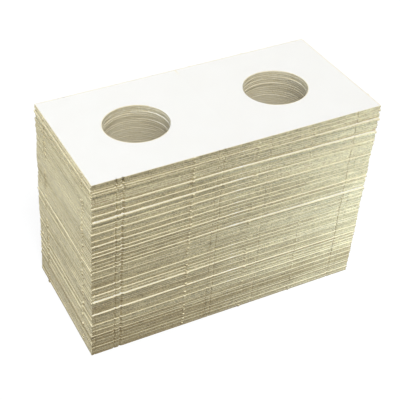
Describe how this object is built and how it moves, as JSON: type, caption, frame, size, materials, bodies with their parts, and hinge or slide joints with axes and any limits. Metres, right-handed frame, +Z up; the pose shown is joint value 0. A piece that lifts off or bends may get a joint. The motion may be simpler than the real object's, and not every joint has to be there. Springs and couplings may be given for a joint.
{
  "type": "stack of coin holder flips",
  "caption": "Leaning stack of unfolded white paperboard coin flips, each with two round film windows; the top flips lift off and the top one folds shut over its crease.",
  "frame": {"origin": "on the ground, in the middle of the stack's outline seen from above", "axes": "+X along the flips to the right, +Y across them to the back, +Z up; the front long side faces -Y"},
  "size_m": [0.1039, 0.0574, 0.075],
  "materials": {
    "white_board": "matte",
    "clear_film": "gloss"
  },
  "bodies": {
    "lower_stack": {"flips_11_to_20": "white_board", "flips_21_to_30": "white_board", "flips_31_to_40": "white_board", "flips_41_to_50": "white_board", "flips_51_to_60": "white_board", "flips_61_to_70": "white_board", "flips_71_to_80": "white_board", "flips_81_to_90": "white_board", "flips_91_to_100": "white_board", "bundle_films": "clear_film"},
    "flip_10": {"flip_10_board": "white_board", "flip_10_film": "clear_film"},
    "flip_09": {"flip_09_board": "white_board", "flip_09_film": "clear_film"},
    "flip_08": {"flip_08_board": "white_board", "flip_08_film": "clear_film"},
    "flip_07": {"flip_07_board": "white_board", "flip_07_film": "clear_film"},
    "flip_06": {"flip_06_board": "white_board", "flip_06_film": "clear_film"},
    "flip_05": {"flip_05_board": "white_board", "flip_05_film": "clear_film"},
    "flip_04": {"flip_04_board": "white_board", "flip_04_film": "clear_film"},
    "flip_03": {"flip_03_board": "white_board", "flip_03_film": "clear_film"},
    "flip_02": {"flip_02_board": "white_board", "flip_02_film": "clear_film"},
    "top_flip_left": {"top_flip_left_board": "white_board", "top_flip_left_film": "clear_film"},
    "top_flip_right": {"top_flip_right_board": "white_board", "top_flip_right_film": "clear_film"}
  },
  "joints": [
    {"name": "flip_10_lift", "type": "slide", "parent": "lower_stack", "child": "flip_10", "axis": [0, 0, 1], "range_m": [0, 0.03]},
    {"name": "flip_09_lift", "type": "slide", "parent": "flip_10", "child": "flip_09", "axis": [0, 0, 1], "range_m": [0, 0.03]},
    {"name": "flip_08_lift", "type": "slide", "parent": "flip_09", "child": "flip_08", "axis": [0, 0, 1], "range_m": [0, 0.03]},
    {"name": "flip_07_lift", "type": "slide", "parent": "flip_08", "child": "flip_07", "axis": [0, 0, 1], "range_m": [0, 0.03]},
    {"name": "flip_06_lift", "type": "slide", "parent": "flip_07", "child": "flip_06", "axis": [0, 0, 1], "range_m": [0, 0.03]},
    {"name": "flip_05_lift", "type": "slide", "parent": "flip_06", "child": "flip_05", "axis": [0, 0, 1], "range_m": [0, 0.03]},
    {"name": "flip_04_lift", "type": "slide", "parent": "flip_05", "child": "flip_04", "axis": [0, 0, 1], "range_m": [0, 0.03]},
    {"name": "flip_03_lift", "type": "slide", "parent": "flip_04", "child": "flip_03", "axis": [0, 0, 1], "range_m": [0, 0.03]},
    {"name": "flip_02_lift", "type": "slide", "parent": "flip_03", "child": "flip_02", "axis": [0, 0, 1], "range_m": [0, 0.03]},
    {"name": "top_flip_lift", "type": "slide", "parent": "flip_02", "child": "top_flip_left", "axis": [0, 0, 1], "range_m": [0, 0.03]},
    {"name": "top_flip_fold", "type": "hinge", "parent": "top_flip_left", "child": "top_flip_right", "pos_m": [0.0011, -0.0033, 0.075], "axis": [0, -1, 0], "range_deg": [0, 179]}
  ]
}
